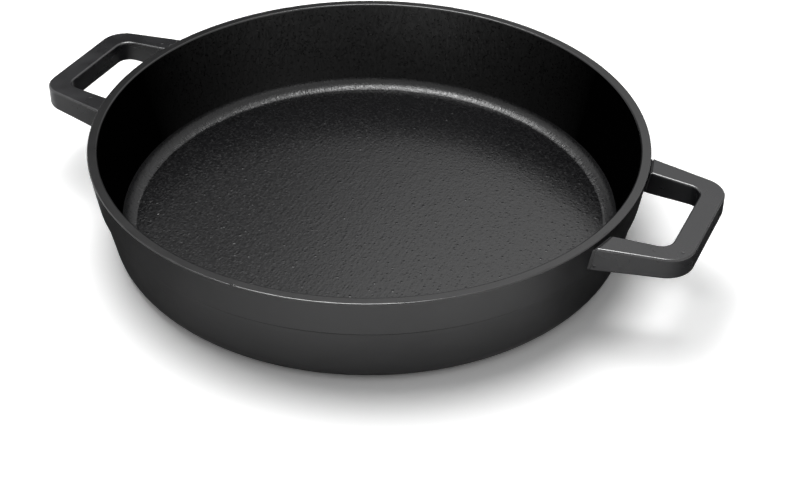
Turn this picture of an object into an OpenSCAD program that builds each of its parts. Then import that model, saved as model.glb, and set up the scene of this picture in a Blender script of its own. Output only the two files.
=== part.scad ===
// Cast iron frying pan with two loop handles. Millimetres, Z up.
// The origin is the centre of the flat base. The handles point along +X and -X.
// Radii and heights written as [r, z] belong to sections that are turned about the Z axis.

/* [Pan body] */
// Outer diameter across the rim
rim_d = 280; // [240:1:320]
// Height from the base to the rim
pan_h = 52.4; // [46:0.1:70]
// Width of the flat ring on top of the wall
rim_land = 5; // [4:0.1:7]
// Rounding of the rim's outer edge
rim_outer_edge_r = 0.4; // [0.3:0.1:1.5]
// Rounding of the rim's inner edge
rim_inner_edge_r = 0.9; // [0.3:0.1:1.5]
// Thickness of the floor
floor_t = 4.2; // [3:0.1:6]
// Thickness of the wall at floor level
wall_foot_t = 5.3; // [4:0.1:8]
// Radius of the hollow corner between the floor and the wall
floor_fillet_r = 7; // [3:0.1:14]
// Radius of the round edge under the wall
base_edge_r = 9.2; // [4:0.1:14]

/* [Band under the rim] */
// Height of the thicker band, from the rim down
band_h = 19; // [16:0.1:26]
// How far the band draws in over its height, on the radius
band_taper = 2.7; // [0.5:0.1:5]
// How far the wall steps in under the band
band_step = 1; // [0.3:0.1:1.4]
// How far the lower wall would draw in down to the base, on the radius
wall_taper = 6.2; // [2:0.1:10]

/* [Handles] */
// How far each handle reaches past the rim
handle_reach = 35.6; // [30:0.1:50]
// How far the handle tops lie below the rim
handle_drop = 2.4; // [1.5:0.1:4]
// Thickness of a handle at the rim
handle_root_t = 12.2; // [9:0.1:13]
// Thickness of a handle at its outer face
handle_tip_t = 10.2; // [7:0.1:12]
// Width of a handle across its arms at the rim
handle_root_w = 81.5; // [70:0.1:100]
// Width of a handle across its outer end, before the corners are rounded
handle_tip_w = 67.8; // [62:0.1:90]
// Width of one arm at the rim
arm_root_w = 12.3; // [8:0.1:14]
// Width of one arm where it meets the grip bar
arm_tip_w = 10; // [7:0.1:12]
// Width of the grip bar
grip_w = 11.2; // [8:0.1:13]
// Corner radius outside
handle_outer_corner_r = 13; // [9:0.1:18]
// Corner radius of the finger opening
finger_corner_r = 7; // [3:0.1:9]
// Bevel along the handle's top edges
handle_edge = 0.7; // [0.4:0.1:2]
// How far the slope on top of each arm reaches out from the wall
root_slope_l = 2.4; // [1.2:0.1:3.5]
// How deep that slope ends at the wall
root_slope_h = 1; // [0.4:0.1:1.8]

/* [Hidden] */
$fn = 180;
// Straight steps in the small rounding of the rim's inner edge
mouth_steps = 10;

// How far cutting shapes run past what they cut
overrun = 1;
// Angle by which the corners of the opening's bevel overlap its straight runs
corner_overlap = 5;

rim_r = rim_d / 2;
half_turn = 180;
right_angle = 90;

// Outer wall: the band's two ends, then the lower wall's two ends
band_z = pan_h - band_h;
band_low_r = rim_r - band_taper;
wall_top_r = band_low_r - band_step;
base_r = wall_top_r - wall_taper;
band_lean = atan(band_taper / band_h);
wall_lean = atan(wall_taper / band_z);

// Inner wall: from the rim's inner edge down to floor level
mouth_r = rim_r - rim_land;
foot_r = base_r + floor_t * tan(wall_lean) - wall_foot_t;
inner_lean = atan((mouth_r - foot_r) / (pan_h - floor_t));

// Radius of the band's outer face at a height
function band_r_at(z) = rim_r - (pan_h - z) * tan(band_lean);

// A wall leans outwards by an angle and stands on a flat face. This is the centre of the circle
// of radius r that touches both from the wall's inner side; foot is where wall and face cross.
function foot_circle(foot, lean, r) = [foot[0] + r * tan(lean) - r / cos(lean), foot[1] + r];

base_circle = foot_circle([base_r, 0], wall_lean, base_edge_r);
floor_circle = foot_circle([foot_r, floor_t], inner_lean, floor_fillet_r);

// The rim's outer edge circle touches the land and the band
rim_circle = [rim_r - rim_outer_edge_r * (1 + sin(band_lean)) / cos(band_lean), pan_h - rim_outer_edge_r];

// The rim's inner edge circle touches the land and the inner wall, from inside the metal
mouth_circle = [mouth_r + rim_inner_edge_r * (1 - sin(inner_lean)) / cos(inner_lean), pan_h - rim_inner_edge_r];

// Where a wall that leans by an angle touches such a circle, on the circle's outer side
function wall_touch(centre, lean, r) = centre + r * [cos(lean), -sin(lean)];

// The rim's inner edge as a run of points, from the inner wall up to the land
mouth_points = [
    for (i = [0:mouth_steps])
        let (angle = half_turn - inner_lean - i * (right_angle - inner_lean) / mouth_steps)
        mouth_circle + rim_inner_edge_r * [cos(angle), sin(angle)]
];

// Handles: the arms' outer and inner edges, and the sloping underside
handle_top_z = pan_h - handle_drop;
handle_tip_x = rim_r + handle_reach;
grip_x = handle_tip_x - grip_w;
handle_start_x = base_r - handle_root_w / 4;
arm_lean = atan((handle_root_w - handle_tip_w) / 2 / handle_reach);
underside_lean = atan((handle_root_t - handle_tip_t) / handle_reach);
finger_root_w = handle_root_w - 2 * arm_root_w;
finger_tip_w = handle_tip_w + 2 * grip_w * tan(arm_lean) - 2 * arm_tip_w;
finger_lean = atan((finger_root_w - finger_tip_w) / 2 / (handle_reach - grip_w));

// Half the width at some distance outside the rim, of a side that leans inwards
function half_w_at(root_w, lean, x) = root_w / 2 - (x - rim_r) * tan(lean);

// Height of the handle's underside at x
function underside_at(x) = handle_top_z - handle_root_t + (x - rim_r) * tan(underside_lean);

// Centre of a handle corner of radius r, between the face at x_end and an arm that leans inwards
function corner_centre(x_end, half_w, lean, r) = [x_end - r, half_w - r * (1 - sin(lean)) / cos(lean)];

// Half section of the pan as if it were solid
module outer_section() {
    polygon([
        [0, 0],
        [base_circle[0], 0],
        wall_touch(base_circle, wall_lean, base_edge_r),
        [wall_top_r, band_z],
        [band_low_r, band_z],
        wall_touch(rim_circle, band_lean, rim_outer_edge_r),
        [rim_circle[0], pan_h],
        [0, pan_h]
    ]);
    translate(base_circle) circle(base_edge_r);
    translate(rim_circle) circle(rim_outer_edge_r);
}

// Half section of the hollow, open at the top
module hollow_section() {
    polygon(concat(
        [[0, floor_t], [floor_circle[0], floor_t], wall_touch(floor_circle, inner_lean, floor_fillet_r)],
        mouth_points,
        [[mouth_circle[0], pan_h + overrun], [0, pan_h + overrun]]
    ));
    translate(floor_circle) circle(floor_fillet_r);
}

// One iron shell: flat floor, leaning wall, thicker band and flat rim
module pan_body() {
    color("#3b3b3c")
    rotate_extrude()
    difference() {
        outer_section();
        hollow_section();
    }
}

// Outline with straight sides and two round corners, open end at handle_start_x
module loop_outline(x_end, root_w, lean, r) {
    start_y = half_w_at(root_w, lean, handle_start_x);
    centre = corner_centre(x_end, half_w_at(root_w, lean, x_end), lean, r);
    touch = centre + r * [sin(lean), cos(lean)];
    polygon([
        [handle_start_x, -start_y],
        [touch[0], -touch[1]],
        [x_end, -centre[1]],
        [x_end, centre[1]],
        [touch[0], touch[1]],
        [handle_start_x, start_y]
    ]);
    for (side = [-1, 1])
        translate([centre[0], side * centre[1]]) circle(r);
}

// The loop seen from above
module loop_plan() {
    difference() {
        loop_outline(handle_tip_x, handle_root_w, arm_lean, handle_outer_corner_r);
        loop_outline(grip_x, finger_root_w, finger_lean, finger_corner_r);
    }
}

// The loop seen from the side: flat top, underside that rises outwards
module loop_side() {
    end_x = handle_tip_x + overrun;
    rotate([right_angle, 0, 0])
    linear_extrude(height = handle_root_w * 2, center = true)
    polygon([
        [handle_start_x, underside_at(handle_start_x)],
        [end_x, underside_at(end_x)],
        [end_x, handle_top_z],
        [handle_start_x, handle_top_z]
    ]);
}

// Runs a section along the same line as loop_outline. The section's first axis points away
// from the loop's middle, its second axis points up. Straight runs go past their ends by run_on,
// corners go past theirs by the angle turn_on.
module along_loop(x_end, root_w, lean, r, run_on, turn_on) {
    start_y = half_w_at(root_w, lean, handle_start_x);
    centre = corner_centre(x_end, half_w_at(root_w, lean, x_end), lean, r);
    touch = centre + r * [sin(lean), cos(lean)];
    translate([x_end, centre[1] + run_on, 0])
    rotate([0, 0, -right_angle])
    rotate([right_angle, 0, right_angle])
    linear_extrude(height = 2 * centre[1] + 2 * run_on)
    children();
    for (side = [0, 1])
        mirror([0, side, 0]) {
            translate([handle_start_x, start_y, 0])
            rotate([0, 0, -lean])
            rotate([right_angle, 0, right_angle])
            linear_extrude(height = norm(touch - [handle_start_x, start_y]) + run_on)
            children();
            translate([centre[0], centre[1], 0])
            rotate([0, 0, -turn_on])
            rotate_extrude(angle = right_angle - lean + 2 * turn_on)
            translate([r, 0])
            children();
        }
}

// Sections that take a bevel off an outside edge and off the edge of an opening
module outside_edge_section() {
    polygon([
        [-handle_edge - overrun, overrun],
        [overrun, -handle_edge - overrun],
        [overrun, overrun]
    ]);
}

module opening_edge_section() {
    polygon([
        [handle_edge + overrun, overrun],
        [-overrun, overrun],
        [-overrun, -handle_edge - overrun]
    ]);
}

// The bevels along the outer and inner edges of the loop's top face, which lies in the plane Z = 0
module top_edges() {
    along_loop(handle_tip_x, handle_root_w, arm_lean, handle_outer_corner_r, overrun, 0)
        outside_edge_section();
    along_loop(grip_x, finger_root_w, finger_lean, finger_corner_r, 0, corner_overlap)
        opening_edge_section();
}

// Ring that cuts the slope on top of each arm along the wall
module root_slope_ring() {
    root_r = band_r_at(handle_top_z);
    fall = root_slope_h / root_slope_l;
    rotate_extrude()
    polygon([
        [root_r - overrun, handle_top_z - root_slope_h - overrun * fall],
        [root_r + root_slope_l + overrun / fall, handle_top_z + overrun],
        [root_r - overrun, handle_top_z + overrun]
    ]);
}

// One loop handle on the +X side. Its arms end on the band's outer face, from the same section
// as the pan body, so that they meet it face to face.
module loop_handle() {
    color("#4a4a4b")
    difference() {
        intersection() {
            translate([0, 0, underside_at(handle_start_x)])
            linear_extrude(height = handle_top_z - underside_at(handle_start_x))
            loop_plan();
            loop_side();
        }
        translate([0, 0, handle_top_z]) top_edges();
        rotate_extrude() outer_section();
        root_slope_ring();
    }
}

module right_handle() {
    loop_handle();
}

module left_handle() {
    rotate([0, 0, half_turn]) loop_handle();
}

pan_body();
left_handle();
right_handle();
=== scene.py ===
"""Looks of a cast iron frying pan with two loop handles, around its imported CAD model.

Lengths are metres in the CAD frame: the origin is the centre of the flat base, Z is up and
the handles point along +X and -X. Section points are written as (r, z).
"""
import math

import bpy
import numpy as np
from bpy.props import FloatProperty, FloatVectorProperty, IntProperty, PointerProperty
from mathutils import Matrix, Vector, noise


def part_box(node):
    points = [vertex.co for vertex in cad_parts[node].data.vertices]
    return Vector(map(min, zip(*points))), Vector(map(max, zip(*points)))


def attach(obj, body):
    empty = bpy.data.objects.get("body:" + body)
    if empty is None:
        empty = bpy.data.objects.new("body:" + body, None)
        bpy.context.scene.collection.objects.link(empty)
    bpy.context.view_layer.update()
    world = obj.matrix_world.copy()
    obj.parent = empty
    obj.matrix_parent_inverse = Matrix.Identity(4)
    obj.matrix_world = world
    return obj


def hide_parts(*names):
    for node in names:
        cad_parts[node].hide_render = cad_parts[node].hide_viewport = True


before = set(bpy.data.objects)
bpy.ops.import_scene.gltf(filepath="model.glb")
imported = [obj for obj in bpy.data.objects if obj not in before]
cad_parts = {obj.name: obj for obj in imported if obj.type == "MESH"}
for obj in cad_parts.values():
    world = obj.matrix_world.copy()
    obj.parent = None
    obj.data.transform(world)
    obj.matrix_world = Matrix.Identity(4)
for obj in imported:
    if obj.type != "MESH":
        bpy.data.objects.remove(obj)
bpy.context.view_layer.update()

bl_info = {
    "name": "Cast iron frying pan",
    "version": (1, 0, 0),
    "blender": (4, 5, 0),
    "location": "View3D > Sidebar > Frying pan",
    "description": "Builds the iron shell, the two loop handles and the studio around them",
    "category": "Object",
}

MM = 0.001
PAN_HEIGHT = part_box("pan_body")[1].z
HANDLE_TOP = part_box("right_handle")[1].z
HANDLE_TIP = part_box("right_handle")[1].x


def linear(hex_colour):
    """An sRGB hex colour such as "1c1c1d" as linear red, green and blue."""
    parts = [int(hex_colour[i:i + 2], 16) / 255 for i in (0, 2, 4)]
    return tuple(c / 12.92 if c <= 0.04045 else ((c + 0.055) / 1.055) ** 2.4 for c in parts)


def length(name, description, millimetres):
    return FloatProperty(name=name, description=description, default=millimetres * MM,
                         min=0.0, precision=5, subtype="DISTANCE", unit="LENGTH")


def colour(name, description, hex_colour):
    return FloatVectorProperty(name=name, description=description, default=linear(hex_colour),
                               min=0.0, max=1.0, size=3, subtype="COLOR")


def share(name, description, value):
    return FloatProperty(name=name, description=description, default=value,
                         min=0.0, max=1.0, precision=3, subtype="FACTOR")


class PanShape(bpy.types.PropertyGroup):
    """Sizes of the iron shell"""
    rim_radius: length("Rim radius", "Radius of the rim's outer edge, before rounding", 140)
    land: length("Rim land", "Width of the flat ring on top of the wall", 5)
    rim_outer_edge: length("Rim outer edge", "Rounding of the rim's outer edge", 0.6)
    rim_inner_edge: length("Rim inner edge", "Rounding of the rim's inner edge", 0.9)
    floor_thickness: length("Floor thickness", "Thickness of the floor", 4.2)
    wall_foot: length("Wall thickness", "Thickness of the wall at floor level", 5.3)
    corner_start: length("Corner start", "Radius where the hollow corner leaves the floor", 4)
    corner_middle: length("Corner middle", "Radius in the middle of the hollow corner", 11)
    corner_end: length("Corner end", "Radius where the hollow corner joins the wall", 6)
    base_edge: length("Base edge", "Radius of the round edge under the wall", 9.2)
    band_height: length("Band height", "Height of the thicker band under the rim", 19)
    band_taper: length("Band taper", "How far the band draws in over its height", 2.7)
    band_step: length("Band step", "How far the wall steps in under the band", 1)
    groove_height: length("Groove height", "Height of the groove under the band", 1.1)
    groove_depth: length("Groove depth", "Depth of the groove under the band", 0.5)
    wall_taper: length("Wall taper", "How far the lower wall draws in down to the base", 6.2)
    segments: IntProperty(name="Segments", description="Faces once round the shell",
                          default=768, min=96, max=1536, step=96)


class HandleShape(bpy.types.PropertyGroup):
    """Sizes of the two loop handles"""
    root_thickness: length("Root thickness", "Thickness at the rim", 12.2)
    tip_thickness: length("Tip thickness", "Thickness at the outer face", 10.2)
    root_width: length("Root width", "Width across both arms at the rim", 81.5)
    tip_width: length("Tip width", "Width across the outer end, before the corners", 67.8)
    arm_root: length("Arm at the rim", "Width of one arm at the rim", 12.3)
    arm_tip: length("Arm at the grip", "Width of one arm at the grip bar", 10)
    grip: length("Grip bar", "Width of the grip bar", 11.2)
    outer_corner: length("Outer corner", "Corner radius outside", 13)
    finger_corner: length("Finger corner", "Corner radius of the finger opening", 7)
    top_edge: length("Top edge", "Rounding of the edges round the top face", 1.0)
    under_edge: length("Under edge", "Rounding of the edges round the underside", 0.8)
    root_reach: length("Root seam", "How far the seam on top of each arm reaches out", 1.7)
    root_depth: length("Root depth", "How deep that seam is", 0.8)


class IronFinish(bpy.types.PropertyGroup):
    """Colours and gloss of the iron"""
    floor: colour("Cooking floor", "Ground and oiled floor of the pan", "0c0c0e")
    # Darker than the floor's colour: painted shade of the dark inside, not a colour of its own
    inside: colour("Inner wall", "Oiled wall inside", "030303")
    rim: colour("Rim", "Ground flat of the rim", "111112")
    outside: colour("Outer wall", "Oiled wall outside and underside", "19191a")
    handle: colour("Handles", "Oiled loops", "202022")
    gloss: share("Roughness", "Roughness of the oiled iron", 0.29)


class StudioSetup(bpy.types.PropertyGroup):
    """Floor, lamps and camera"""
    floor: colour("Floor", "Colour of the studio floor", "f2f2f2")
    lamp: FloatProperty(name="Top lamp", description="Power of the lamp that shines in edges",
                        default=300, min=0, unit="POWER")
    soft_lamp: FloatProperty(name="Soft lamp", description="Power of the wide lamp that lights "
                             "matt surfaces", default=118.5, min=0, unit="POWER")
    fill: share("Fill", "Light that the surroundings give matt surfaces", 0.37)
    over: FloatProperty(name="Over white", description="How much lighter the floor is shown than "
                        "it is, as in a picture exposed for the dark iron", default=1.57, min=1)
    lens: FloatProperty(name="Lens", description="Focal length on a 36 mm wide frame",
                        default=68.96, min=20, subtype="DISTANCE_CAMERA")


def foot_circle(foot_r, foot_z, lean, radius):
    """Centre of the circle that touches a face and the wall that leans out from it."""
    return foot_r + radius * math.tan(lean) - radius / math.cos(lean), foot_z + radius


def arc(centre, radius, start, end, steps):
    """Points along an arc, both ends with it, angles in radians."""
    angles = np.linspace(start, end, steps + 1)
    return [(centre[0] + radius * math.cos(a), centre[1] + radius * math.sin(a)) for a in angles]


def flat(start, end, steps, keep=0.06 * MM):
    """Points strictly between two ends. The first and last lie close to the ends, so that
    the shading of a round edge stays on the edge."""
    start, end = np.array(start), np.array(end)
    near = keep / np.linalg.norm(end - start)
    return [tuple(start + (end - start) * t) for t in np.linspace(near, 1 - near, steps)]


FLOOR, CORNER, INSIDE, RIM, EDGE, OUTSIDE, UNDER = range(7)

# Slopes at which the hollow corner's second and third arcs start
CORNER_TURNS = (math.radians(18), math.radians(34))
# Steps along the arcs of the section
CORNER_STEPS, MOUTH_STEPS, EDGE_STEPS, BASE_STEPS = 5, 7, 7, 9
# Rows of points between the arcs
INSIDE_ROWS, LAND_ROWS, BAND_ROWS, WALL_ROWS = 9, 5, 8, 9


class Section:
    """The shell's half section, from the floor's edge over the rim to the base's edge."""

    def __init__(self, pan):
        self.pan = pan
        self.band_z = PAN_HEIGHT - pan.band_height
        self.band_low = pan.rim_radius - pan.band_taper
        self.wall_top = self.band_low - pan.band_step
        self.base_r = self.wall_top - pan.wall_taper
        self.band_lean = math.atan(pan.band_taper / pan.band_height)
        self.wall_lean = math.atan(pan.wall_taper / self.band_z)
        mouth_r = pan.rim_radius - pan.land
        foot_r = self.base_r + pan.floor_thickness * math.tan(self.wall_lean) - pan.wall_foot
        rise = PAN_HEIGHT - pan.floor_thickness
        self.inner_lean = math.atan((mouth_r - foot_r) / rise)
        self.foot_r = foot_r
        self.base_circle = foot_circle(self.base_r, 0, self.wall_lean, pan.base_edge)
        self.rim_circle = (
            pan.rim_radius - pan.rim_outer_edge * (1 + math.sin(self.band_lean))
            / math.cos(self.band_lean),
            PAN_HEIGHT - pan.rim_outer_edge)
        self.mouth_circle = (
            mouth_r + pan.rim_inner_edge * (1 - math.sin(self.inner_lean))
            / math.cos(self.inner_lean),
            PAN_HEIGHT - pan.rim_inner_edge)

    def band_r(self, z):
        """Radius of the band's outer face at a height."""
        return self.pan.rim_radius - (PAN_HEIGHT - z) * math.tan(self.band_lean)

    def corner(self):
        """The hollow corner from the floor up to the inner wall: three arcs, each of which
        starts at the slope that the one before ends at."""
        pan = self.pan
        turns = [0, *CORNER_TURNS, math.pi / 2 - self.inner_lean]
        points = [(0.0, 0.0)]
        for i, radius in enumerate((pan.corner_start, pan.corner_middle, pan.corner_end)):
            r, z = points[-1]
            for t in np.linspace(turns[i], turns[i + 1], CORNER_STEPS + 1)[1:]:
                points.append((r + radius * (math.sin(t) - math.sin(turns[i])),
                               z + radius * (math.cos(turns[i]) - math.cos(t))))
        out = self.foot_r + points[-1][1] * math.tan(self.inner_lean) - points[-1][0]
        return [(out + r, pan.floor_thickness + z) for r, z in points]

    def rows(self):
        """[(region, [points])] in order, each run going on from the one before."""
        pan, down, up = self.pan, -math.pi / 2, math.pi / 2
        corner = self.corner()
        mouth = arc(self.mouth_circle, pan.rim_inner_edge, math.pi - self.inner_lean, up,
                    MOUTH_STEPS)
        edge = arc(self.rim_circle, pan.rim_outer_edge, up, -self.band_lean, EDGE_STEPS)
        base = arc(self.base_circle, pan.base_edge, -self.wall_lean, down, BASE_STEPS)
        # Points this far from the groove's edges round them off a little
        slip = 0.15 * MM
        groove_r, groove_z = self.wall_top - pan.groove_depth, self.band_z - pan.groove_height
        wall_slope = math.tan(self.wall_lean)
        ledge = [(self.band_low + slip * math.tan(self.band_lean), self.band_z + slip),
                 (self.band_low - slip, self.band_z),
                 (groove_r, self.band_z),
                 (groove_r, groove_z + slip),
                 (self.wall_top - pan.groove_height * wall_slope - slip, groove_z),
                 (self.wall_top - (pan.groove_height + slip) * wall_slope, groove_z - slip)]
        return [
            (CORNER, corner),
            (INSIDE, flat(corner[-1], mouth[0], INSIDE_ROWS)),
            (RIM, mouth + flat(mouth[-1], edge[0], LAND_ROWS) + edge[:1]),
            (EDGE, edge[1:]),
            (OUTSIDE, flat(edge[-1], ledge[0], BAND_ROWS) + ledge
             + flat(ledge[-1], base[0], WALL_ROWS) + base),
        ]


def rough(p, size, seed):
    """Smooth noise from -1 to 1 whose bumps are about size across. Each seed has a place of
    its own in the noise."""
    return noise.noise(p / size + Vector((seed, 3.7 * seed, -1.3 * seed)))


# For each region, how deep its cast surface may lie in mm, and the waves that it is made of,
# as (size in mm, share of the depth)
RELIEF = {
    FLOOR: (0.08, [(26, 0.3), (2.8, 0.15)]),
    CORNER: (0.12, [(18, 0.3), (5, 0.25)]),
    INSIDE: (0.12, [(18, 0.3), (5, 0.25)]),
    RIM: (0.05, [(9, 0.35), (3, 0.1)]),
    EDGE: (0.05, [(9, 0.35), (3, 0.1)]),
    OUTSIDE: (0.07, [(30, 0.3), (7, 0.2)]),
    UNDER: (0.07, [(30, 0.3), (7, 0.2)]),
}


def relief(p, region):
    """How deep the cast surface lies under its true shape at a point."""
    deepest, waves = RELIEF[region]
    # The waves swing about half the depth
    deep = 0.5 + sum(part * rough(p, size * MM, seed)
                     for seed, (size, part) in enumerate(waves, start=1 + 3 * region))
    return deepest * MM * min(max(deep, 0.0), 1.0)


def new_piece(name, points, faces, materials, face_materials, sharp_degrees):
    """A mesh object with smooth faces, apart from edges sharper than an angle."""
    mesh = bpy.data.meshes.new(name)
    mesh.from_pydata([tuple(p) for p in points], [], faces)
    for material in materials:
        mesh.materials.append(material)
    mesh.polygons.foreach_set("material_index", np.array(face_materials, np.int32))
    if mesh.validate():
        raise RuntimeError(name + " has faces that don't join")
    mesh.shade_smooth()
    mesh.set_sharp_from_angle(angle=math.radians(sharp_degrees))
    piece = bpy.data.objects.new(name, mesh)
    bpy.context.scene.collection.objects.link(piece)
    return piece


# How far apart the rings of the cooking floor and of the underside are
FLOOR_STEP, UNDER_STEP = 1.3 * MM, 5 * MM
# A ring drops half its points where they get closer than this share of that distance
CLOSEST = 0.62


class RingMesh:
    """Points and faces of a body that is built ring by ring round the Z axis."""

    def __init__(self):
        self.points, self.faces, self.regions = [], [], []

    def ring(self, r, z, count):
        """Adds a ring and returns the numbers of its points."""
        first = len(self.points)
        for i in range(count):
            a = 2 * math.pi * i / count
            self.points.append((r * math.cos(a), r * math.sin(a), z))
        return list(range(first, first + count))

    def face(self, corners, region, flip):
        self.faces.append(corners[::-1] if flip else corners)
        self.regions.append(region)

    def join(self, a, b, region, flip=False):
        """Joins ring a to ring b, with as many points or half as many. The faces look up where
        b lies outside a at the same height."""
        n = len(a)
        if len(b) == n:
            for i in range(n):
                j = (i + 1) % n
                self.face((a[i], b[i], b[j], a[j]), region, flip)
            return
        for i in range(len(b)):
            j, odd = (i + 1) % len(b), a[2 * i + 1]
            self.face((a[2 * i], b[i], odd), region, flip)
            self.face((odd, b[i], b[j]), region, flip)
            self.face((odd, b[j], a[(2 * i + 2) % n]), region, flip)

    def disc(self, ring, radius, z, step, region, look_up):
        """Fills a flat disc inside a ring, with fewer points towards the middle."""
        r = radius
        while r > 2 * step:
            count, r = len(ring), r - step
            if 2 * math.pi * r / count < CLOSEST * step and count % 2 == 0:
                count //= 2
            inner = self.ring(r, z, count)
            self.join(ring, inner, region, look_up)
            ring = inner
        middle = len(self.points)
        self.points.append((0, 0, z))
        for i, corner in enumerate(ring):
            self.face((corner, middle, ring[(i + 1) % len(ring)]), region, look_up)


def shell_mesh(pan):
    """The shell's points, faces and each face's region, with its cast relief."""
    body = RingMesh()
    section = Section(pan)
    runs = section.rows()
    start = runs[0][1].pop(0)
    before = first = body.ring(*start, pan.segments)
    for region, points in runs:
        for r, z in points:
            after = body.ring(r, z, pan.segments)
            body.join(before, after, region)
            before = after
    body.disc(first, start[0], start[1], FLOOR_STEP, FLOOR, True)
    body.disc(before, section.base_circle[0], 0, UNDER_STEP, UNDER, False)
    return body


def roughen(points, faces, regions):
    """Moves each point in along its normal by the relief of its region."""
    mesh = bpy.data.meshes.new("rough")
    mesh.from_pydata(points, [], faces)
    normals = np.zeros(len(points) * 3, np.float32)
    mesh.vertex_normals.foreach_get("vector", normals)
    bpy.data.meshes.remove(mesh)
    normals = normals.reshape(-1, 3)
    region_of = {}
    for corners, region in zip(faces, regions):
        for corner in corners:
            region_of[corner] = region
    moved = []
    for i, p in enumerate(points):
        p = Vector(p)
        moved.append(p - Vector(normals[i]) * relief(p, region_of[i]))
    return moved


def add(tree, kind, inputs=None, **settings):
    """Adds a node. An input that is a socket is linked, any other is set."""
    node = tree.nodes.new(kind)
    for name, value in settings.items():
        setattr(node, name, value)
    for name, value in (inputs or {}).items():
        if isinstance(value, bpy.types.NodeSocket):
            tree.links.new(value, node.inputs[name])
        else:
            node.inputs[name].default_value = value
    return node


# How noise layers are stretched: not at all, to streaks across the handles' line, or to
# streaks that run up the wall
PLAIN = (1, 1, 1)
ACROSS = (1, 0.16, 1)
UP_THE_WALL = (1, 1, 0.2)
ROUND_STRETCHES = (UP_THE_WALL,)
# Radius at which streaks up the wall have their true width
STREAK_RADIUS = 130 * MM
# How strong each finer part of the grain is, against the part before
FINER = 0.55
# Most values of a noise texture lie between these
NOISE_LOW, NOISE_HIGH = 0.3, 0.7
# Share of the cells of a loose grid that hold no spot
EMPTY_CELLS = 0.35
# Layer Weight's Facing up to which a surface keeps all its shine
STEEPEST = 0.1
OIL_IOR = 1.5


def add_round_place(tree, place):
    """Coordinates that run round the pan in X and Y, and along the section in Z."""
    flat_place = add(tree, "ShaderNodeVectorMath", {0: place, 1: (1, 1, 0)},
                     operation="MULTIPLY").outputs[0]
    out = add(tree, "ShaderNodeVectorMath", {0: flat_place}, operation="LENGTH").outputs["Value"]
    ring = add(tree, "ShaderNodeVectorMath", {0: flat_place}, operation="NORMALIZE").outputs[0]
    ring = add(tree, "ShaderNodeVectorMath", {0: ring, "Scale": STREAK_RADIUS},
               operation="SCALE").outputs[0]
    up = add(tree, "ShaderNodeSeparateXYZ", {0: place}).outputs["Z"]
    along = add(tree, "ShaderNodeMath", {0: up, 1: out}, operation="ADD").outputs[0]
    along = add(tree, "ShaderNodeCombineXYZ", {"Z": along}).outputs[0]
    return add(tree, "ShaderNodeVectorMath", {0: ring, 1: along}, operation="ADD").outputs[0]


def add_layers(tree, places, layers):
    """Sums noise layers, each (size in mm, height in mm, stretch, detail), to one height in mm.
    Places are the straight coordinates and those round the pan, which ROUND_STRETCHES take."""
    total = None
    for size, height, stretch, detail in layers:
        place = add(tree, "ShaderNodeVectorMath",
                    {0: places[stretch in ROUND_STRETCHES], 1: stretch},
                    operation="MULTIPLY").outputs[0]
        grain = add(tree, "ShaderNodeTexNoise", {"Vector": place, "Scale": 1 / (size * MM),
                                                 "Detail": detail, "Roughness": FINER})
        part = add(tree, "ShaderNodeMath", {0: grain.outputs[0], 1: height},
                   operation="MULTIPLY").outputs[0]
        total = part if total is None else add(
            tree, "ShaderNodeMath", {0: total, 1: part}, operation="ADD").outputs[0]
    return total


def add_spots(tree, place, spacing, radius, height, flat=False):
    """Small round spots in mm, one in each cell of a loose grid, some stronger than others,
    as a height in mm. A flat grid lies in X and Y."""
    cells = add(tree, "ShaderNodeTexVoronoi", {"Vector": place, "Scale": 1 / (spacing * MM)},
                voronoi_dimensions="2D" if flat else "3D")
    chance = add(tree, "ShaderNodeSeparateColor", {0: cells.outputs["Color"]}).outputs[0]
    strength = add(tree, "ShaderNodeMapRange", {"Value": chance, "From Min": EMPTY_CELLS,
                                                "To Max": height}).outputs[0]
    spot = add(tree, "ShaderNodeMapRange",
               {"Value": cells.outputs["Distance"], "From Max": radius / spacing,
                "To Min": 1.0, "To Max": 0.0}, interpolation_type="SMOOTHSTEP").outputs[0]
    return add(tree, "ShaderNodeMath", {0: spot, 1: strength}, operation="MULTIPLY").outputs[0]


def add_mark(tree, place, middle, radius, height):
    """One round pit or bump, all in mm, as a height in mm."""
    away = add(tree, "ShaderNodeVectorMath", {0: place, 1: [c * MM for c in middle]},
               operation="DISTANCE").outputs["Value"]
    return add(tree, "ShaderNodeMapRange",
               {"Value": away, "From Max": radius * MM, "To Min": height, "To Max": 0.0},
               interpolation_type="SMOOTHSTEP").outputs[0]


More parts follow.
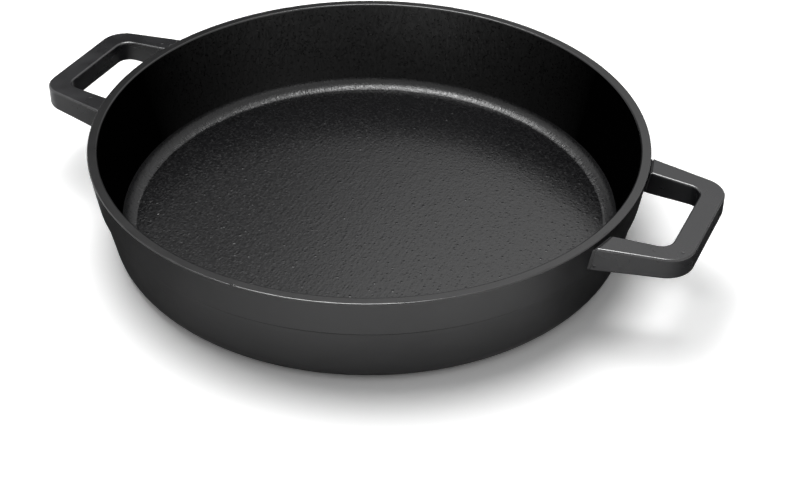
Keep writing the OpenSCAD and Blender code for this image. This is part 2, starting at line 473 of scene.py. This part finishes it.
def iron(name, base, roughness, layers, spots=(), marks=(), shine=0.5, graze=1.0, uneven=0.05,
         patch=14, shade=0.25, flattest=0.6):
    """Cast iron under baked-on oil. The light meets the oil, so it isn't set as a metal. Where
    the surface is seen at a flat angle its grains hide each other, and graze is the share of
    the shine that is left. It is reached where Layer Weight's Facing is flattest. Tone varies
    by shade and roughness by uneven, in patches of patch mm."""
    material = bpy.data.materials.new(name)
    material.use_nodes = True
    tree = material.node_tree
    shader = tree.nodes["Principled BSDF"]
    place = add(tree, "ShaderNodeTexCoord").outputs["Object"]
    height = add_layers(tree, (place, add_round_place(tree, place)), layers)
    for part in [add_spots(tree, place, *values) for values in spots] + [
            add_mark(tree, place, *values) for values in marks]:
        height = add(tree, "ShaderNodeMath", {0: height, 1: part}, operation="ADD").outputs[0]
    bump = add(tree, "ShaderNodeBump", {"Strength": 1.0, "Distance": MM, "Height": height})
    patches = add(tree, "ShaderNodeTexNoise", {"Vector": place, "Scale": 1 / (patch * MM),
                                               "Detail": 3.0}).outputs[0]
    gloss = add(tree, "ShaderNodeMapRange",
                {"Value": patches, "From Min": NOISE_LOW, "From Max": NOISE_HIGH,
                 "To Min": roughness - uneven, "To Max": roughness + uneven})
    tone = add(tree, "ShaderNodeValToRGB", {"Fac": patches})
    for stop, value in zip(tone.color_ramp.elements, (1 - shade, 1 + shade)):
        stop.color = (*[c * value for c in base], 1)
    tree.links.new(tone.outputs["Color"], shader.inputs["Base Color"])
    tree.links.new(gloss.outputs[0], shader.inputs["Roughness"])
    tree.links.new(bump.outputs[0], shader.inputs["Normal"])
    shader.inputs["IOR"].default_value = OIL_IOR
    if graze < 1:
        facing = add(tree, "ShaderNodeLayerWeight", {"Blend": 0.5}).outputs["Facing"]
        left = add(tree, "ShaderNodeMapRange",
                   {"Value": facing, "From Min": STEEPEST, "From Max": flattest,
                    "To Min": shine, "To Max": shine * graze})
        tree.links.new(left.outputs[0], shader.inputs["Specular IOR Level"])
    else:
        shader.inputs["Specular IOR Level"].default_value = shine
    return material


def iron_materials(finish):
    """The finishes of the shell by region.

    Moulding sand and grinding leave a grain of 0.2 to 0.4 mm. The photograph's pixels cover
    0.5 mm, so the finest grain is drawn 0.9 to 1.7 mm wide to show."""
    gloss = finish.gloss
    # Ground, then oiled: small pits and pimples that sparkle, faint streaks, a sheen that
    # gathers the back light
    floor = iron("oiled_iron_ground_floor", finish.floor, gloss - 0.04,
                 [(1.7, 0.08, PLAIN, 2), (1.1, 0.05, ACROSS, 1)],
                 spots=[(2.7, 0.8, 0.07, True), (3.3, 0.7, -0.08, True), (6, 0.9, 0.14, True)],
                 uneven=0.06, patch=1.5)
    # Sand-cast: streaks that run up the wall break the bright ring round the floor
    corner = iron("oiled_iron_sand_cast_corner", finish.floor, gloss + 0.06,
                  [(0.9, 0.2, UP_THE_WALL, 2), (1.4, 0.15, PLAIN, 2)], shine=0.42, uneven=0.12,
                  patch=1.2)
    # The same sand-cast skin, its colour darkened to nearly black: painted shade, because it faces
    # the dark inside
    inside = iron("oiled_iron_sand_cast_inside", finish.inside, gloss + 0.05,
                  [(1.4, 0.2, UP_THE_WALL, 2), (4, 0.2, UP_THE_WALL, 1)],
                  spots=[(3.6, 0.6, 0.15)], graze=0.0, uneven=0.1, patch=1.3, flattest=0.41)
    # The one nick in front of the rim: a bump next to a pit
    nick = [((1.9, -139.7, 52.3), 0.9, 0.5), ((3.0, -139.4, 52.3), 0.8, -0.4)]
    # Ground flat and rubbed by lids: the evenest part, with few pits
    rim = iron("oiled_iron_ground_rim", finish.rim, gloss,
               [(1.5, 0.015, PLAIN, 2)], spots=[(14, 0.5, -0.08, True)],
               marks=nick, shine=0.46, uneven=0.02)
    # The flat turns into the wall here: handling has polished it, so it is the glossiest part
    edge = iron("oiled_iron_polished_edge", finish.rim, gloss - 0.05, [(1.5, 0.015, PLAIN, 2)],
                marks=nick, shine=0.62, uneven=0.02)
    # Fine sand-cast skin under oil: even and satin
    outside = iron("oiled_iron_sand_cast_outside", finish.outside, gloss + 0.05,
                   [(4, 0.03, PLAIN, 3), (1.0, 0.01, PLAIN, 2)], shine=0.46)
    # The base stands on the hob: ground flat, coarser than the rim
    under = iron("oiled_iron_ground_underside", finish.outside, gloss + 0.08,
                 [(3, 0.05, PLAIN, 3), (1.0, 0.02, PLAIN, 2)])
    return [floor, corner, inside, rim, edge, outside, under]


class PAN_OT_shell(bpy.types.Operator):
    """Builds the iron shell: floor, wall, band, rim and base"""
    bl_idname = "frying_pan.shell"
    bl_label = "Build the shell"

    def execute(self, context):
        scene = context.scene
        body = shell_mesh(scene.pan_shape)
        points = roughen(body.points, body.faces, body.regions)
        piece = new_piece("pan_shell", points, body.faces, iron_materials(scene.iron_finish),
                          body.regions, sharp_degrees=50)
        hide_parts("pan_body")
        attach(piece, "root")
        return {"FINISHED"}


# How far inside the rim's edge the sides of the arms start, well within the wall
ARM_START = 20 * MM
# Steps along half a loop: the straight arm, its corner and half of the grip bar
ARM_STEPS, BEND_STEPS, GRIP_STEPS = 16, 16, 14


class LoopPlan:
    """Outlines of one loop seen from above, handle pointing along +X."""

    def __init__(self, shape, pan):
        self.shape, self.section = shape, Section(pan)
        self.rim = pan.rim_radius
        self.reach = HANDLE_TIP - self.rim
        self.lean = math.atan((shape.root_width - shape.tip_width) / 2 / self.reach)
        self.grip_x = HANDLE_TIP - shape.grip
        root = shape.root_width - 2 * shape.arm_root
        tip = shape.tip_width + 2 * shape.grip * math.tan(self.lean) - 2 * shape.arm_tip
        self.finger_lean = math.atan((root - tip) / 2 / (self.reach - shape.grip))
        self.finger_root = root
        self.under_slope = (shape.root_thickness - shape.tip_thickness) / self.reach

    def under(self, x):
        """Height of the underside at x."""
        return HANDLE_TOP - self.shape.root_thickness + (x - self.rim) * self.under_slope

    def outline(self, end_x, root_width, lean, radius):
        """(start of the arm's edge, corner centre, touch point) on the +Y side."""
        def half_width(x):
            return root_width / 2 - (x - self.rim) * math.tan(lean)
        start_x = self.rim - ARM_START
        centre = (end_x - radius, half_width(end_x)
                  - radius * (1 - math.sin(lean)) / math.cos(lean))
        touch = (centre[0] + radius * math.sin(lean), centre[1] + radius * math.cos(lean))
        return np.array((start_x, half_width(start_x))), np.array(centre), np.array(touch)

    def stations(self):
        """Pairs of outer and inner points along half the loop, from the wall to the middle.
        The first item is the straight arm, given by its two ends."""
        s = self.shape
        o_start, o_centre, o_touch = self.outline(HANDLE_TIP, s.root_width, self.lean,
                                                  s.outer_corner)
        i_start, i_centre, i_touch = self.outline(self.grip_x, self.finger_root,
                                                  self.finger_lean, s.finger_corner)
        arm = (o_start, i_start), (o_touch, i_touch)
        bend = []
        for t in np.linspace(0, 1, BEND_STEPS + 1)[1:]:
            a = (math.pi / 2 - self.lean) * (1 - t)
            b = (math.pi / 2 - self.finger_lean) * (1 - t)
            bend.append((o_centre + s.outer_corner * np.array((math.cos(a), math.sin(a))),
                         i_centre + s.finger_corner * np.array((math.cos(b), math.sin(b)))))
        for t in np.linspace(1, 0, GRIP_STEPS + 1)[1:]:
            bend.append((np.array((HANDLE_TIP, o_centre[1] * t)),
                         np.array((self.grip_x, i_centre[1] * t))))
        return arm, bend


# Steps round each corner of a loop's cross-section, and points on its wide and tall sides
TURN_STEPS, WIDE_ROWS, TALL_ROWS = 6, 9, 7


def corner_points(width, low, high, top, under):
    """Rounded rectangle as (across, z), anticlockwise from the outer side's foot, with a
    corner radius at the top and one below."""
    corners = []
    for x, z, r, start in ((under, low + under, under, math.pi),
                           (width - under, low + under, under, 1.5 * math.pi),
                           (width - top, high - top, top, 0),
                           (top, high - top, top, 0.5 * math.pi)):
        corners.append(arc((x, z), r, start, start + math.pi / 2, TURN_STEPS))
    points = []
    for i, corner in enumerate(corners):
        points += corner + flat(corner[-1], corners[(i + 1) % 4][0],
                                WIDE_ROWS if i % 2 == 0 else TALL_ROWS)
    return points


# Which rows of that rectangle lie on the two rounded edges of the top
THIRD_CORNER = 2 * (TURN_STEPS + 1) + WIDE_ROWS + TALL_ROWS
FOURTH_CORNER = THIRD_CORNER + TURN_STEPS + 1 + WIDE_ROWS
TOP_EDGE_ROWS = (*range(THIRD_CORNER, THIRD_CORNER + TURN_STEPS),
                 *range(FOURTH_CORNER, FOURTH_CORNER + TURN_STEPS))

# The seam on top of an arm's end is a crease, a narrow strip and a groove: (share of its reach
# from the wall, share of its depth)
ROOT_SEAM = [(-0.12, 1.0), (0.05, 1.0), (0.25, 0.9), (0.36, 0.42), (0.45, 0.32), (0.56, 0.4),
             (0.66, 0.62), (0.76, 0.85), (0.84, 0.85), (0.93, 0.1), (0.97, 0.01), (1.02, 0.0)]
# How often the span in which a line meets the wall is halved
HALVINGS = 40


def loop_mesh(shape, pan):
    """Points and faces of the loop on the +X side, and for each face 1 on the rounded edges
    of its top, 0 elsewhere."""
    plan = LoopPlan(shape, pan)
    arm, bend = plan.stations()

    def section_at(outer, inner, sunk=0.0):
        """The loop's cross-section between two points of its plan, sunk all round."""
        inset = (inner - outer) * 0.5 * sunk / np.linalg.norm(inner - outer)
        outer, inner = outer + inset, inner - inset
        width = np.linalg.norm(inner - outer)
        low = plan.under((outer[0] + inner[0]) / 2)
        rows = []
        for across, z in corner_points(width, low, HANDLE_TOP - sunk, shape.top_edge,
                                       shape.under_edge):
            place = outer + (inner - outer) * across / width
            share_down = (HANDLE_TOP - z) / (HANDLE_TOP - low)
            z += share_down * (plan.under(place[0]) - low)
            rows.append((place[0], place[1], z))
        return np.array(rows)

    def on_wall(a, b, gap):
        """Where the line from a to b is gap outside the band's face."""
        lo, hi = 0.0, 1.0
        for _ in range(HALVINGS):
            t = (lo + hi) / 2
            p = a + (b - a) * t
            if math.hypot(p[0], p[1]) - plan.section.band_r(p[2]) < gap:
                lo = t
            else:
                hi = t
        return a + (b - a) * (lo + hi) / 2

    rings = []
    for along, down in ROOT_SEAM:
        near, far = (section_at(*pair, down * shape.root_depth) for pair in arm)
        rings.append(np.array([on_wall(a, b, along * shape.root_reach)
                               for a, b in zip(near, far)]))
    start = rings[-1]
    for t in np.linspace(0, 1, ARM_STEPS + 1)[1:]:
        rings.append(start + (far - start) * t)
    rings += [section_at(o, i) for o, i in bend]
    mirrored = [ring * np.array((1, -1, 1)) for ring in reversed(rings[:-1])]
    rings += mirrored
    n = len(rings[0])
    points = np.concatenate(rings)
    faces, on_edge = [], []
    for k in range(len(rings) - 1):
        for i in range(n):
            j = (i + 1) % n
            faces.append((k * n + i, (k + 1) * n + i, (k + 1) * n + j, k * n + j))
            on_edge.append(int(i in TOP_EDGE_ROWS))
    ends = []
    for k, turn in ((0, 1), (len(rings) - 1, -1)):
        middle = len(points) + len(ends)
        ends.append(rings[k].mean(axis=0))
        for i in range(n):
            pair = (k * n + i, k * n + (i + 1) % n)
            faces.append((*pair[::turn], middle))
            on_edge.append(0)
    return np.concatenate([points, np.array(ends)]), faces, on_edge


# Pits (-) and bumps (+) of the castings: (place, radius, height) in mm
HANDLE_MARKS = [((158.6, -31.4, 50), 0.8, -0.14), ((155.9, -29.6, 50), 0.7, -0.1),
                ((170.8, -27.4, 50), 0.9, -0.2), ((134.7, -41.7, 40.1), 1.0, 0.3),
                ((-143.8, 33.0, 50), 0.9, 0.2), ((-145.5, -32.6, 50), 0.8, -0.15)]


class PAN_OT_handles(bpy.types.Operator):
    """Builds the two loop handles"""
    bl_idname = "frying_pan.handles"
    bl_label = "Build the handles"

    def execute(self, context):
        scene = context.scene
        points, faces, on_edge = loop_mesh(scene.handle_shape, scene.pan_shape)
        # Fine sand-cast skin under oil, which handling has polished a little on the edges
        grain = [(3.5, 0.02, PLAIN, 3), (0.9, 0.008, PLAIN, 2)]
        base, gloss = scene.iron_finish.handle, scene.iron_finish.gloss
        skin = iron("oiled_iron_sand_cast_handle", base, gloss, grain, marks=HANDLE_MARKS,
                    shine=0.6, graze=0.62)
        edge = iron("oiled_iron_polished_handle_edge", base, gloss - 0.02, grain,
                    marks=HANDLE_MARKS, shine=0.78, graze=0.7)
        for name, node, turn in (("right_loop", "right_handle", 1),
                                 ("left_loop", "left_handle", -1)):
            placed = points * np.array((turn, turn, 1))
            piece = new_piece(name, placed, faces, [skin, edge], on_edge, sharp_degrees=40)
            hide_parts(node)
            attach(piece, "root")
        return {"FINISHED"}


# The camera as worked out from the photograph's ellipses, in a frame whose Y axis points away
# from the camera. The view then turns by VIEW_TURN about Z into the CAD frame.
VIEW_TURN = math.radians(26.439)
VIEW_DISTANCE = 0.76948
VIEW_ELEVATION = math.radians(32.066)
VIEW_ROLL = math.radians(0.627)
VIEW_TARGET = (0.01329, -0.09863)
FRAME_WIDTH = 36


def add_camera(lens):
    """The photograph's camera."""
    rim = Vector((0, 0, PAN_HEIGHT))
    turn = Matrix.Rotation(VIEW_TURN, 3, "Z")
    place = Vector((0, -math.cos(VIEW_ELEVATION), math.sin(VIEW_ELEVATION))) * VIEW_DISTANCE
    forward = (Vector((*VIEW_TARGET, 0)) - place).normalized()
    right = forward.cross(Vector((0, 0, 1))).normalized()
    up = right.cross(forward)
    cos, sin = math.cos(VIEW_ROLL), math.sin(VIEW_ROLL)
    right, up = cos * right + sin * up, cos * up - sin * right
    axes = turn @ Matrix((right, up, -forward)).transposed()
    data = bpy.data.cameras.new("camera")
    data.sensor_width, data.lens = FRAME_WIDTH, lens
    camera = bpy.data.objects.new("camera", data)
    camera.matrix_world = Matrix.LocRotScale(turn @ place + rim, axes.to_quaternion(), None)
    bpy.context.scene.collection.objects.link(camera)
    bpy.context.scene.camera = camera


def view_direction(azimuth, elevation):
    """A direction as seen from the pan. Azimuth 0 points away from the camera, 90 to its
    right."""
    a, e = math.radians(azimuth), math.radians(elevation)
    d = Vector((math.sin(a) * math.cos(e), math.cos(a) * math.cos(e), math.sin(e)))
    return Matrix.Rotation(VIEW_TURN, 3, "Z") @ d


def add_lamp(name, azimuth, elevation, distance, size, power):
    """A soft lamp that faces the pan."""
    data = bpy.data.lights.new(name, "AREA")
    data.shape, data.size, data.energy = "DISK", size, power
    lamp = bpy.data.objects.new(name, data)
    d = view_direction(azimuth, elevation)
    lamp.location = d * distance
    lamp.rotation_mode = "QUATERNION"
    lamp.rotation_quaternion = d.to_track_quat("Z", "Y")
    lamp.visible_camera = False
    bpy.context.scene.collection.objects.link(lamp)
    return lamp


def visible_ray(tree):
    """1 for rays that show what is behind things: straight to the camera, mirrored or
    through glass."""
    path = add(tree, "ShaderNodeLightPath")
    shown = path.outputs["Is Camera Ray"]
    for kind in ("Is Glossy Ray", "Is Transmission Ray"):
        shown = add(tree, "ShaderNodeMath", {0: shown, 1: path.outputs[kind]},
                    operation="MAXIMUM").outputs[0]
    return shown


def add_world(fill):
    """White surroundings, which light matt surfaces at the fill's level."""
    world = bpy.data.worlds.new("studio")
    world.use_nodes = True
    tree = world.node_tree
    strength = add(tree, "ShaderNodeMapRange",
                   {"Value": visible_ray(tree), "To Min": fill, "To Max": 1.0}).outputs[0]
    back = tree.nodes["Background"]
    back.inputs["Color"].default_value = (1, 1, 1, 1)
    tree.links.new(strength, back.inputs["Strength"])
    bpy.context.scene.world = world


# Distances between which the floor turns from shaded paper to plain white
FADE_START, FADE_END = 0.35, 1.2


def add_floor(colour, over):
    """A wide white floor that keeps the shadow near the pan and is plain white far from it. It
    is shown over times as light as it lights the pan."""
    sides, radii = 96, (0.6, 1.5, 3, 6, 12)
    turns = [2 * math.pi * i / sides for i in range(sides)]
    points, faces = [(0, 0, 0)], []
    for r in radii:
        points += [(r * math.cos(a), r * math.sin(a), 0) for a in turns]
    for i in range(sides):
        j = (i + 1) % sides
        faces.append((0, 1 + i, 1 + j))
        for k in range(len(radii) - 1):
            a, b = 1 + k * sides, 1 + (k + 1) * sides
            faces.append((a + i, b + i, b + j, a + j))
    material = bpy.data.materials.new("paper_floor")
    material.use_nodes = True
    tree = material.node_tree
    shader = tree.nodes["Principled BSDF"]
    shader.inputs["Roughness"].default_value = 0.9
    shader.inputs["Specular IOR Level"].default_value = 0.0
    place = add(tree, "ShaderNodeTexCoord").outputs["Object"]
    away = add(tree, "ShaderNodeVectorMath", {0: place}, operation="LENGTH").outputs["Value"]
    far = add(tree, "ShaderNodeMapRange",
              {"Value": away, "From Min": FADE_START, "From Max": FADE_END},
              interpolation_type="SMOOTHSTEP").outputs[0]
    shown = visible_ray(tree)
    gain = add(tree, "ShaderNodeMapRange", {"Value": shown, "To Min": 1.0, "To Max": over})
    tone = add(tree, "ShaderNodeVectorMath", {0: tuple(colour), "Scale": gain.outputs[0]},
               operation="SCALE")
    tree.links.new(tone.outputs[0], shader.inputs["Base Color"])
    amount = add(tree, "ShaderNodeMath", {0: far, 1: shown}, operation="MULTIPLY").outputs[0]
    white = add(tree, "ShaderNodeEmission", {"Color": (1, 1, 1, 1), "Strength": 1.0})
    both = add(tree, "ShaderNodeMixShader", {0: amount, 1: shader.outputs[0],
                                             2: white.outputs[0]})
    tree.links.new(both.outputs[0], tree.nodes["Material Output"].inputs["Surface"])
    floor = new_piece("studio_floor", points, faces, [material], [0] * len(faces),
                      sharp_degrees=30)


# Points along a card on the floor and along a standing one
FLAT_POINTS, STANDING_POINTS = 40, 49


def add_card(name, rows, covers, glow=0.0):
    """A card that is only seen in reflections, black or glowing, and so paints a dark or a bright
    reflection on the iron. Each row is a line of points, from one side of the card to the other,
    and covers says how much each point hides."""
    points = [p for row in rows for p in row]
    wide = len(rows[0])
    faces = [(a, a + 1, a + 1 + wide, a + wide)
             for r in range(len(rows) - 1) for a in range(r * wide, r * wide + wide - 1)]
    skin = bpy.data.materials.new(name + ("_glow_in_reflections" if glow else "_black_in_reflections"))
    skin.use_nodes = True
    tree = skin.node_tree
    shader = tree.nodes["Principled BSDF"]
    shader.inputs["Base Color"].default_value = (0, 0, 0, 1)
    shader.inputs["Specular IOR Level"].default_value = 0.0
    shader.inputs["Emission Color"].default_value = (1, 1, 1, 1)
    shader.inputs["Emission Strength"].default_value = glow
    cover = add(tree, "ShaderNodeAttribute", attribute_name="cover").outputs["Fac"]
    tree.links.new(cover, shader.inputs["Alpha"])
    card = new_piece(name, points, faces, [skin], [0] * len(faces), sharp_degrees=30)
    values = card.data.attributes.new("cover", "FLOAT", "POINT").data
    values.foreach_set("value", np.array(covers, np.float32).ravel())
    card.visible_camera = card.visible_diffuse = card.visible_shadow = False
    card.visible_transmission = False


def add_side_card(name, side, reach, thins, up=1.0):
    """A black card on the floor close beside the pan, seen only in reflections, where it paints a
    dark reflection of the shaded floor. It thins out away from the pan, as given
    by reach: (mm, share), and round the pan, as given by thins: (azimuth, cover). It lies
    up mm over the floor."""
    azimuths = np.linspace(thins[0][0], thins[-1][0], FLAT_POINTS)
    covers = np.interp(azimuths, [a for a, _ in thins], [c for _, c in thins])
    add_card(name, [[tuple(view_direction(side * a, 0) * r * MM + Vector((0, 0, up * MM)))
                     for a in azimuths] for r, _ in reach], [covers * share for _, share in reach])


def add_standing_card(name, tops, foot, distance, glow=0.0):
    """A card that stands round the pan, from the elevation foot up to (azimuth, elevation)
    along its top, where it thins out."""
    azimuths = np.linspace(tops[0][0], tops[-1][0], STANDING_POINTS)
    heights = np.interp(azimuths, [a for a, _ in tops], [e for _, e in tops])
    # How far up its rows lie, and how much each row hides
    ups, covers = (0.0, 0.3, 0.6, 0.8, 1.0), (1.0, 1.0, 1.0, 0.7, 0.0)
    add_card(name, [[tuple(view_direction(a, foot + (e - foot) * up) * distance)
                     for a, e in zip(azimuths, heights)] for up in ups],
             [[cover] * len(azimuths) for cover in covers], glow)


class PAN_OT_studio(bpy.types.Operator):
    """Builds the studio: floor, white surroundings, lamps, black and glowing cards that paint
    reflections, and camera
    """
    bl_idname = "frying_pan.studio"
    bl_label = "Build the studio"

    def execute(self, context):
        studio = context.scene.studio_setup
        add_floor(studio.floor, studio.over)
        add_world(studio.fill)
        top = add_lamp("top_lamp", azimuth=-30, elevation=77, distance=4.2, size=2.2,
                       power=studio.lamp)
        top.visible_diffuse = False
        soft = add_lamp("soft_lamp", azimuth=-29, elevation=75, distance=4.0, size=3.07,
                        power=studio.soft_lamp)
        soft.visible_glossy = False
        # Black cards seen only in reflections: painted dark reflections of the shaded floor close
        # by, as the wall and the handles' sides mirror it
        add_side_card("left_back_card", -1, [(128, 1), (165, 1), (200, 0)],
                      [(5, 0), (25, 0.9), (48, 0.9), (70, 0)], up=1.5)
        add_side_card("left_card", -1, [(118, 1), (205, 1), (285, 0.5)],
                      [(45, 0), (62, 0.3), (78, 0.5), (92, 0.98), (107, 0.95), (126, 0.83),
                       (144, 0.5), (165, 0.1), (175, 0)])
        add_side_card("right_card", 1, [(118, 1), (235, 1), (300, 0.4)],
                      [(45, 0), (60, 0.98), (107, 0.98), (126, 0.88), (144, 0.3), (160, 0)])
        add_side_card("front_card", 1, [(116, 0.85), (127, 0.85), (134, 0)],
                      [(140, 0), (158, 1), (205, 1), (222, 0)], up=0.5)
        # A dim card seen only in reflections: a painted dark reflection of the end of the room, as
        # the flat tops mirror it
        add_standing_card("back_card", [(-33, 2), (-31, 45), (-14, 49), (-8, 49), (-3, 42),
                                        (1, 37), (10, 33), (30, 28), (45, 20), (75, 14), (88, 2)],
                          foot=1, distance=1.5, glow=0.02)
        # Glowing cards seen only in reflections, no lamps: painted bright reflections of lit
        # paper: (name, first azimuth, last azimuth, foot, top, glow)
        for name, first, last, foot, top, glow in (("left", -72, -36, 18, 45, 1.5),
                                                   ("back", -6, 40, 33, 60, 1.5),
                                                   ("right", 112, 160, 12, 34, 1.8),
                                                   ("front", -168, -140, 2, 14, 3.0)):
            add_standing_card(name + "_reflection_glow", [(first, top), (last, top)], foot,
                              distance=1.6, glow=glow)
        add_camera(studio.lens)
        context.scene.view_settings.view_transform = "Standard"
        return {"FINISHED"}


class PAN_PT_build(bpy.types.Panel):
    """Lists what builds the frying pan"""
    bl_idname = "PAN_PT_build"
    bl_label = "Frying pan"
    bl_space_type = "VIEW_3D"
    bl_region_type = "UI"
    bl_category = "Frying pan"

    def draw(self, context):
        for group in PROPERTY_GROUPS:
            settings = getattr(context.scene, group)
            box = self.layout.box()
            for name in settings.bl_rna.properties.keys():
                if name not in ("rna_type", "name"):
                    box.prop(settings, name)
        for operator in OPERATORS:
            self.layout.operator(operator.bl_idname)


OPERATORS = (PAN_OT_shell, PAN_OT_handles, PAN_OT_studio)
PROPERTY_GROUPS = {"pan_shape": PanShape, "handle_shape": HandleShape,
                   "iron_finish": IronFinish, "studio_setup": StudioSetup}
CLASSES = (*PROPERTY_GROUPS.values(), *OPERATORS, PAN_PT_build)


def register():
    for item in CLASSES:
        bpy.utils.register_class(item)
    for name, group in PROPERTY_GROUPS.items():
        setattr(bpy.types.Scene, name, PointerProperty(type=group))


def unregister():
    for name in PROPERTY_GROUPS:
        delattr(bpy.types.Scene, name)
    for item in reversed(CLASSES):
        bpy.utils.unregister_class(item)


def main():
    register()
    bpy.ops.frying_pan.shell()
    bpy.ops.frying_pan.handles()
    bpy.ops.frying_pan.studio()
    bpy.context.view_layer.update()


if __name__ == "__main__":
    main()
